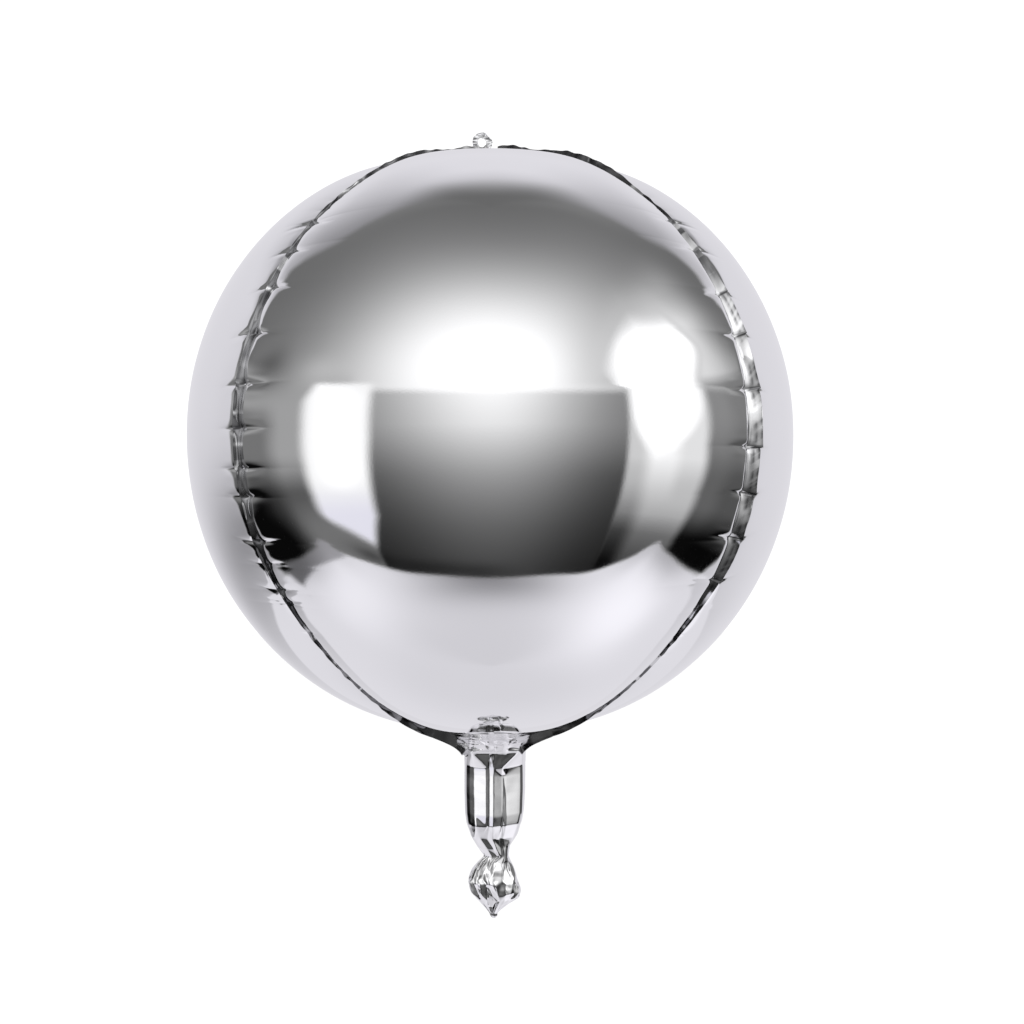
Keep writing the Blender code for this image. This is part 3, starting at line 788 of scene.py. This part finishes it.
def build_tab():
    """Punched hang tab: two sealed foils, an uneven ring on a gathered foot."""
    rng = np.random.default_rng(71)
    around, across = 132, 9
    a = np.linspace(0, 2 * math.pi, around, endpoint=False)
    cx, cz = -0.0063, 0.1918
    wob = 1 + 0.02 * np.sin(2 * a + 0.7) + 0.012 * np.sin(5 * a + 2) + 0.006 * np.sin(9 * a + 1)
    outer = (0.0058 + 0.0018 * np.maximum(0.0, np.cos(a + math.radians(45))) ** 1.5) * wob
    inner = (0.0023 + 0.0015 * np.maximum(0.0, np.cos(a + math.radians(62))) ** 1.5) * (1 + 0.05 * np.sin(3 * a + 1.1))
    foot = smooth(-np.sin(a), 0.45, 0.95)
    q = np.linspace(0, 1, across)
    r = inner[:, None] + (outer - inner)[:, None] * q[None, :]
    x = cx + r * np.cos(a)[:, None] * (1 + 0.12 * foot[:, None] * q[None, :])
    z = cz + r * np.sin(a)[:, None]
    z = np.maximum(z, 0.1838)
    lean = 0.10 * (z - 0.187)
    crump = np.zeros_like(x)
    for k in range(5):
        way = rng.normal(size=2)
        way /= np.linalg.norm(way)
        length = 0.0042 + 0.0018 * k
        crump += np.abs(((x * way[0] + z * way[1]) / length + rng.random()) % 1 - 0.5) * length
    crump = (crump - crump.mean()) * 0.30
    radial = 0.0005 * np.sin(a * 3 + 0.5)[:, None] * q[None, :]
    y = lean + crump * (0.35 + 0.65 * q[None, :]) + radial
    thick = 0.00045 + 0.00022 * np.sin(np.pi * q)[None, :]
    front = np.stack([x, y - thick / 2, z], -1)
    back = np.stack([x, y + thick / 2, z], -1)
    ring = np.concatenate([front, back[:, ::-1]], 1)
    rows, cols = ring.shape[:2]
    i, j = np.meshgrid(np.arange(rows), np.arange(cols), indexing="ij")
    i2, j2 = (i + 1) % rows, (j + 1) % cols
    quads = np.stack([i * cols + j, i2 * cols + j, i2 * cols + j2, i * cols + j2], -1).reshape(-1, 4)
    obj = make_mesh("hang_tab_foil", ring.reshape(-1, 3), [quads])
    sub = obj.modifiers.new("Fine", "SUBSURF")
    sub.levels = sub.render_levels = 1
    return face_out(obj, 60)


# ------------------------------------------------------------------- materials
REFLECT = 0.86


def foil_material(name, tone, rough, grain, crumple=0.0, painted_shade=None):
    """Bright metallised film: a clear mirror with a faint calendered grain."""
    mat = bpy.data.materials.new(name)
    mat.use_nodes = True
    nt = mat.node_tree
    bsdf = nt.nodes["Principled BSDF"]
    bsdf.inputs["Metallic"].default_value = 1.0
    coord = nt.nodes.new("ShaderNodeTexCoord")
    # slow cloudy change of tone, from the thickness of the metal coat
    cloud = nt.nodes.new("ShaderNodeTexNoise")
    cloud.inputs["Scale"].default_value = 9.0
    cloud.inputs["Detail"].default_value = 3.0
    nt.links.new(coord.outputs["Object"], cloud.inputs["Vector"])
    ramp = nt.nodes.new("ShaderNodeValToRGB")
    ramp.color_ramp.elements[0].position = 0.30
    ramp.color_ramp.elements[0].color = (tone[0] * 0.985, tone[1] * 0.985, tone[2] * 0.99, 1)
    ramp.color_ramp.elements[1].position = 0.72
    ramp.color_ramp.elements[1].color = (min(1, tone[0] * 1.015), min(1, tone[1] * 1.015), min(1, tone[2] * 1.02), 1)
    nt.links.new(cloud.outputs["Fac"], ramp.inputs["Fac"])
    colour = ramp.outputs["Color"]
    if painted_shade is not None:
        # painted shade: the seal's colour is darkened towards near black where its creases, folds and groove lie in
        # shade
        seal = nt.nodes.new("ShaderNodeAttribute")
        seal.attribute_name = "crease"
        dark = nt.nodes.new("ShaderNodeMix")
        dark.data_type = "RGBA"
        nt.links.new(seal.outputs["Fac"], dark.inputs[0])
        nt.links.new(colour, dark.inputs[6])
        dark.inputs[7].default_value = (*painted_shade, 1)
        colour = dark.outputs[2]
    nt.links.new(colour, bsdf.inputs["Base Color"])
    # roughness: smears and handling marks
    smear = nt.nodes.new("ShaderNodeTexNoise")
    smear.inputs["Scale"].default_value = 38.0
    smear.inputs["Detail"].default_value = 4.0
    smear.inputs["Roughness"].default_value = 0.6
    stretch = nt.nodes.new("ShaderNodeMapping")
    stretch.inputs["Scale"].default_value = (1.0, 1.0, 0.35)
    nt.links.new(coord.outputs["Object"], stretch.inputs["Vector"])
    nt.links.new(stretch.outputs["Vector"], smear.inputs["Vector"])
    level = nt.nodes.new("ShaderNodeMapRange")
    level.inputs["From Min"].default_value = 0.35
    level.inputs["From Max"].default_value = 0.75
    level.inputs["To Min"].default_value = rough
    level.inputs["To Max"].default_value = rough * 1.7
    nt.links.new(smear.outputs["Fac"], level.inputs["Value"])
    nt.links.new(level.outputs["Result"], bsdf.inputs["Roughness"])
    # grain of the film
    fine = nt.nodes.new("ShaderNodeTexNoise")
    fine.inputs["Scale"].default_value = 900.0
    fine.inputs["Detail"].default_value = 2.0
    nt.links.new(coord.outputs["Object"], fine.inputs["Vector"])
    bump = nt.nodes.new("ShaderNodeBump")
    bump.inputs["Strength"].default_value = grain
    bump.inputs["Distance"].default_value = 0.00005
    nt.links.new(fine.outputs["Fac"], bump.inputs["Height"])
    last = bump
    if crumple:
        cells = nt.nodes.new("ShaderNodeTexVoronoi")
        cells.feature = "F1"
        cells.inputs["Scale"].default_value = 420.0
        nt.links.new(coord.outputs["Object"], cells.inputs["Vector"])
        bump2 = nt.nodes.new("ShaderNodeBump")
        bump2.inputs["Strength"].default_value = crumple
        bump2.inputs["Distance"].default_value = 0.0003
        nt.links.new(cells.outputs["Distance"], bump2.inputs["Height"])
        nt.links.new(bump.outputs["Normal"], bump2.inputs["Normal"])
        last = bump2
    nt.links.new(last.outputs["Normal"], bsdf.inputs["Normal"])
    return mat


# ----------------------------------------------------------------- the studio
class Sum:
    """Arithmetic on node sockets, written as plain arithmetic."""

    tree = None

    def __init__(self, socket):
        self.socket = socket

    @classmethod
    def do(cls, op, *args):
        n = cls.tree.nodes.new("ShaderNodeMath")
        n.operation = op
        for slot, value in zip(n.inputs, args):
            if isinstance(value, Sum):
                cls.tree.links.new(value.socket, slot)
            else:
                slot.default_value = float(value)
        return cls(n.outputs[0])

    def __add__(self, o): return Sum.do("ADD", self, o)
    __radd__ = __add__
    def __sub__(self, o): return Sum.do("SUBTRACT", self, o)
    def __rsub__(self, o): return Sum.do("SUBTRACT", o, self)
    def __mul__(self, o): return Sum.do("MULTIPLY", self, o)
    __rmul__ = __mul__
    def __truediv__(self, o): return Sum.do("DIVIDE", self, o)
    def __rtruediv__(self, o): return Sum.do("DIVIDE", o, self)
    def __neg__(self): return Sum.do("MULTIPLY", self, -1.0)

    def step(self, lo, hi):
        """0 at lo, 1 at hi, smooth between them; lo and hi may be sockets."""
        flip = not isinstance(lo, Sum) and not isinstance(hi, Sum) and hi < lo
        if flip:
            lo, hi = hi, lo
        n = Sum.tree.nodes.new("ShaderNodeMapRange")
        n.interpolation_type = "SMOOTHSTEP"
        for slot, value in zip(n.inputs, (self, lo, hi)):
            if isinstance(value, Sum):
                Sum.tree.links.new(value.socket, slot)
            else:
                slot.default_value = float(value)
        out = Sum(n.outputs[0])
        return 1.0 - out if flip else out

    def bell(self, centre, width):
        d = (self - centre) / width
        return Sum.do("EXPONENT", -(d * d))


def mix(a, b, m):
    return a + (b - a) * m


def tone(v):
    """Radiance that a foil shows as the 8-bit tone v."""
    c = v / 255.0
    c = c / 12.92 if c <= 0.04045 else ((c + 0.055) / 1.055) ** 2.4
    return c / REFLECT


def studio():
    """White tent with two tall soft boxes, a glow above, and a pale floor."""
    world = bpy.data.worlds.new("studio")
    bpy.context.scene.world = world
    world.use_nodes = True
    nt = world.node_tree
    nt.nodes.clear()
    Sum.tree = nt
    coord = nt.nodes.new("ShaderNodeTexCoord")
    sep = nt.nodes.new("ShaderNodeSeparateXYZ")
    nt.links.new(coord.outputs["Generated"], sep.inputs[0])
    x, y, z = (Sum(o) for o in sep.outputs)
    deg = 180.0 / math.pi
    a = Sum.do("ARCTAN2", x, -y) * deg + 2.3           # 0 faces the camera, + to the right
    e = Sum.do("ARCSINE", Sum.do("MINIMUM", Sum.do("MAXIMUM", z, -1.0), 1.0)) * deg
    wide = Sum.do("ABSOLUTE", a)

    # glow of the ceiling light, wider than it is tall
    squeeze = Sum.do("COSINE", (e - 22.0) / deg)
    across = (a + 1.0) * squeeze / mix(1.52, 1.64, a.step(-12, 12))
    q2 = (across * across + (e - 22.0) * (e - 22.0)) / (31.0 * 31.0)
    glow = 0.135 + 1.14 * Sum.do("EXPONENT", -q2)
    glow = glow * (1.0 - 0.20 * a.bell(38.0, 13.0) * e.step(50, 20) * e.step(10, 18))
    light = glow / REFLECT

    # lower sides: walls that fall off to black above the floor
    low_l = mix(tone(16), tone(112), a.step(-86, -68))
    side_l = mix(mix(low_l, tone(84), e.step(-30, -16) * a.step(-90, -74)), tone(158), e.step(-19, -4))
    side_l = side_l * (1.0 - 0.50 * a.step(-72, -81) * e.step(12, 2))
    side_r = mix(tone(10), tone(96), e.step(-30, -19)) * (1.0 + 0.60 * e.step(-12, 9)) * mix(0.70, 1.0, a.step(93, 84))
    light = mix(light, side_l, a.step(-44, -50) * e.step(22, 8) * wide.step(150, 124))
    light = mix(light, side_r, a.step(60, 76) * e.step(20, 11) * wide.step(150, 124))
    light = light * (1.0 - 0.12 * a.bell(108.0, 12.0) * e.bell(47.0, 12.0))
    # dark opening in front, a sharp level edge at its top
    fall = Sum.do("EXPONENT", Sum.do("MINIMUM", e, 4.0) * 0.053 + (Sum.do("MAXIMUM", e, 4.0) - 4.0) * 0.022)
    left_part = (a - 1.0).bell(0.0, 33.0)
    right_part = (a - 1.0).bell(0.0, 28.8)
    body = 0.12 + 0.88 * mix(left_part, right_part, a.step(-2, 4))
    dark = 0.625 * fall * body / REFLECT + tone(12)
    light = mix(light, dark, e.step(15.6, 12.6) * a.step(-49, -46) * a.step(50.0, 46.5))

    # left soft box: hot middle, cooler foot and left side, sloping foot
    right_edge = Sum.do("MAXIMUM", -40.6 + Sum.do("MINIMUM", e, 0.0) * 0.10 + Sum.do("MINIMUM", e + 26.0, 0.0) * 0.45, -60.0)
    foot = -30.2 + (a + 56.0) * -0.62
    spread = e.step(10, 17)
    box_l = (a.step(-66.8 + 3.5 * spread, -60.8 + 3.0 * spread) * (1.0 - (a - right_edge).step(-1.4, 3.4) * mix(1.0, 0.92, e.step(-14, 4)))
             * e.step(17.4, 15.2) * (e - foot).step(-2.2, 2.6))
    plate_l = mix(tone(229), tone(246), e.step(-26, -12))
    plate_l = mix(plate_l, 1.5, a.bell(-51.0, 6.8) * e.step(-20, -8) * e.step(17, 10))
    light = mix(light, plate_l, box_l)
    box_l_mask = box_l

    # right soft box: a lit face with a hot, soft-edged middle
    plate_r = (a.step(45.6, 48.6) * a.step(81.0, 75.0) * e.step(16.5, 14.0))
    level = 247.0 + 4.4 * Sum.do("MINIMUM", e + 6.0, 0.0) - 34.0 * Sum.do("MINIMUM", Sum.do("MAXIMUM", -e - 24.0, 0.0), 6.0) / 6.0
    level = level - 44.0 * a.step(58.0, 51.0) * e.step(-26, -7) - 22.0 * a.step(63.0, 70.0) * e.step(-22, -12) - 44.0 * a.step(59.5, 51.5) * e.step(-12, -26)
    fade = Sum.do("POWER", Sum.do("MAXIMUM", level, 20.0) / 255.0, 2.2) / REFLECT
    light = mix(light, fade, plate_r)
    # its hot part: a slanting top, bulging to the right, narrow below
    top = 37.2 - 0.42 * Sum.do("MAXIMUM", 60.0 - a, 0.0) - 0.030 * Sum.do("POWER", Sum.do("MAXIMUM", 56.0 - a, 0.0), 2.0) \
        - 0.075 * Sum.do("POWER", Sum.do("MAXIMUM", a - 74.0, 0.0), 2.0)
    right = 75.0 + 8.0 * e.bell(29.0, 9.0) - 0.045 * Sum.do("POWER", Sum.do("MAXIMUM", 12.0 - e, 0.0), 2.0)
    left = mix(44.0, 48.6, e.step(16.5, 14.5)) + 0.030 * Sum.do("POWER", Sum.do("MAXIMUM", 9.0 - e, 0.0), 2.0)
    loose = e.step(14.5, 22.0)
    hot = (top - e).step(-3.4, 5.6) * (right - a).step(-3.2, 4.4) * (a - left).step(-1.6 - 4.4 * loose, 3.0 + 4.0 * loose) * e.step(-9.0, 5.0)
    hot = Sum.do("POWER", hot, 0.8)
    light = mix(light, 1.5, hot)
    # cloth above it, lit from the side
    cloth = a.bell(77.0, 20.0) * (e - (30.0 + 0.12 * a)).bell(0.0, 7.5) * (1.0 - hot)
    light = mix(light, tone(192), 0.80 * cloth)
    light = mix(light, tone(222), 0.95 * a.bell(80.0, 14.0) * e.step(13, 19) * e.step(42, 33) * (1.0 - hot))
    light = light + 0.09 * (1.0 - hot) * (top - e).bell(-3.0, 6.0) * a.bell(62.0, 20.0)

    light = light * (1.0 + 0.30 * a.bell(-63.0, 8.0) * e.bell(20.0, 5.0)) * (1.0 - 0.40 * a.bell(-82.0, 6.0) * e.bell(21.0, 6.0))
    light = light * (1.0 + 0.32 * wide.bell(118.0, 12.0) * e.bell(64.0, 14.0))

    # tent behind: even, a touch cool
    z2 = z * z
    along = Sum.do("COSINE", (a - 2.3) / deg) * -1.0 * Sum.do("SQRT", Sum.do("MAXIMUM", 1.0 - z2, 0.0))
    limit = 0.150 + 0.185 * (1.0 - z2) + 0.10 * e.bell(42.0, 7.0) * wide.step(140, 118)
    soft = e.step(22, 50) * wide.step(112, 150)
    behind = (along - limit).step(-0.030 - 0.015 * soft, 0.045 + 0.16 * soft)
    high = mix(tone(140), tone(220), wide.step(104, 172))
    high = mix(high, mix(tone(120), tone(168), wide.step(110, 180)), e.step(60, 80))
    tent = mix(tone(214), high, e.step(28, 46))
    tent = tent * (1.0 - 0.06 * wide.bell(112.0, 9.0))
    tent = tent * (1.0 - 0.54 * a.bell(-118.0, 30.0) * e.bell(-21.0, 15.0))
    tent = tent * (1.0 - 0.13 * e.step(-6, -38) * wide.step(160, 120))
    # the far side of the room, which only shows from behind
    far = mix(tone(92), tone(235), e.step(-26, 14)) * (1.0 - 0.45 * e.step(16, 40))
    reach = Sum.do("SQRT", (wide - 180.0) * (wide - 180.0) + (e + 1.5) * (e + 1.5))
    tent = mix(tent, far, 0.75 * reach.step(13.6, 1.0))
    light = mix(light, tent, behind)

    # floor: its front edge bows down between two corners at the sides
    bow = Sum.do("POWER", Sum.do("MAXIMUM", Sum.do("COSINE", Sum.do("MINIMUM", wide * 1.25, 90.0) / deg), 0.0), 0.9)
    rim = -33.5 - 15.7 * bow + 2.1 * wide.bell(70.0, 4.5) - 1.6 * wide.step(74, 92) - 1.0 * wide.bell(42.0, 14.0) \
        - 0.7 * a.bell(98.0, 10.0) - 1.4 * a.bell(50.0, 13.0)
    on_floor = 1.0 - (e - rim).step(-0.9, 1.0)
    floor = mix(tone(206), tone(212), wide.step(50, 100))
    bright_r = a.bell(78.0, 40.0) * e.bell(-51.0, 19.0)
    bright_l = a.bell(-72.0, 36.0) * e.bell(-47.0, 15.0)
    dim_f = a.bell(1.0, 38.0) * e.bell(-50.0, 8.5)
    floor = floor * (1.0 + 0.46 * bright_r + 0.32 * bright_l - 0.56 * dim_f)
    floor = mix(floor, tone(222), 0.6 * wide.step(95, 125) * e.step(-72, -45))
    # a grey board leans at the left end of the floor, a dimmer patch at the right
    board = a.step(-61.5, -66.0) * a.step(-109, -102) * (e + 37.1 - 0.048 * (a + 62.0)).step(-1.0, 0.6)
    floor = mix(floor, mix(tone(98), tone(158), a.step(-100, -70)), board * 0.95)
    floor = floor * (1.0 - 0.46 * a.bell(82.0, 20.0) * (e - rim).bell(0.0, 6.0) - 0.42 * a.bell(-86.0, 18.0) * (e - rim).bell(0.0, 6.5))
    light = mix(light, floor, on_floor)
    # a dark line where the floor ends in front
    light = light * (1.0 - 0.45 * (e - rim).bell(2.6, 2.8) * wide.step(60, 30) * a.step(20, -8) * (1.0 - box_l_mask * 0.6))
    light = light * (1.0 - 0.55 * (a + 52.0).bell(0.0, 7.0) * (e - rim).bell(3.2, 2.6))

    # tints: cool tent and soft boxes, neutral room
    cool = Sum.do("MAXIMUM", behind, on_floor)
    comb = nt.nodes.new("ShaderNodeCombineXYZ")
    red = light * (1.0 - 0.004 * cool) * mix(1.0, 0.965, box_l_mask * e.step(-14, -26))
    green = light * (1.0 - 0.018 * cool) * mix(1.0, 0.955, box_l_mask * e.step(-14, -26))
    blue = light * (1.0 + 0.035 * cool) * mix(1.0, 1.06, box_l_mask * e.step(-14, -26))
    for slot, value in zip(comb.inputs, (red, green, blue)):
        nt.links.new(value.socket, slot)

    seen = nt.nodes.new("ShaderNodeBackground")          # what foil reflects
    nt.links.new(comb.outputs[0], seen.inputs["Color"])
    plain = nt.nodes.new("ShaderNodeBackground")         # backdrop and soft fill
    plain.inputs["Color"].default_value = (1, 1, 1, 1)
    plain.inputs["Strength"].default_value = 1.12
    path = nt.nodes.new("ShaderNodeLightPath")
    pick = nt.nodes.new("ShaderNodeMixShader")
    nt.links.new(path.outputs["Is Glossy Ray"], pick.inputs[0])
    nt.links.new(plain.outputs[0], pick.inputs[1])
    nt.links.new(seen.outputs[0], pick.inputs[2])
    out = nt.nodes.new("ShaderNodeOutputWorld")
    nt.links.new(pick.outputs[0], out.inputs["Surface"])
    world.cycles.sampling_method = "NONE"


def floor_plane():
    verts = np.array([(-6, -2.4, -1.3), (6, -2.4, -1.3), (6, 9, -1.3), (-6, 9, -1.3)], float)
    obj = make_mesh("studio_floor", verts, [np.array([[0, 1, 2, 3]])])
    mat = bpy.data.materials.new("studio_floor")
    mat.use_nodes = True
    bsdf = mat.node_tree.nodes["Principled BSDF"]
    bsdf.inputs["Base Color"].default_value = (0.93, 0.93, 0.93, 1)
    bsdf.inputs["Roughness"].default_value = 0.9
    obj.data.materials.append(mat)
    obj.visible_glossy = False


def camera():
    cam = bpy.data.cameras.new("photo_view")
    cam.sensor_width = 36.0
    cam.lens = 1169.7 / 1024 * 36.0
    cam.clip_start, cam.clip_end = 0.02, 60.0
    obj = bpy.data.objects.new("photo_view", cam)
    bpy.context.scene.collection.objects.link(obj)
    obj.location = (-0.0207, -0.759, -0.0265)
    yaw, pitch = math.radians(2.5699), math.radians(-1.5329)
    obj.rotation_euler = (math.radians(90) + pitch, 0.0, -yaw)
    bpy.context.scene.camera = obj


# --------------------------------------------------------------------- build
def finish_piece(obj, node, mat):
    obj.data.materials.clear()
    obj.data.materials.append(mat)
    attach(obj, "root")
    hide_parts(node)


def main():
    panel = foil_material("panel_foil", (0.860, 0.860, 0.866), 0.035, 0.10)
    # the seam foil carries painted shade: near black where the seal's creases, folds and groove lie in shade
    sealed = foil_material("seam_foil", (0.830, 0.830, 0.838), 0.07, 0.25, painted_shade=(0.07, 0.07, 0.075))
    punched = foil_material("tab_foil", (0.760, 0.760, 0.772), 0.10, 0.25)
    gathered = foil_material("gathered_foil", (0.860, 0.858, 0.864), 0.05, 0.15)
    for name, azimuth in (("front_panel", 0), ("right_panel", 90),
                          ("back_panel", 180), ("left_panel", -90)):
        finish_piece(build_panel(name + "_foil", azimuth), name, panel)
    for name, seam in (("seam_front_right", 45), ("seam_back_right", 135),
                       ("seam_back_left", -135), ("seam_front_left", -45)):
        finish_piece(build_flange(name + "_foil", seam), name, sealed)
    finish_piece(build_crown(), "crown_gather", gathered)
    finish_piece(build_tab(), "hang_tab", punched)
    for obj, node in build_tube():
        finish_piece(obj, node, gathered)
    studio()
    floor_plane()
    camera()
    bpy.context.scene.view_settings.view_transform = "Standard"


main()
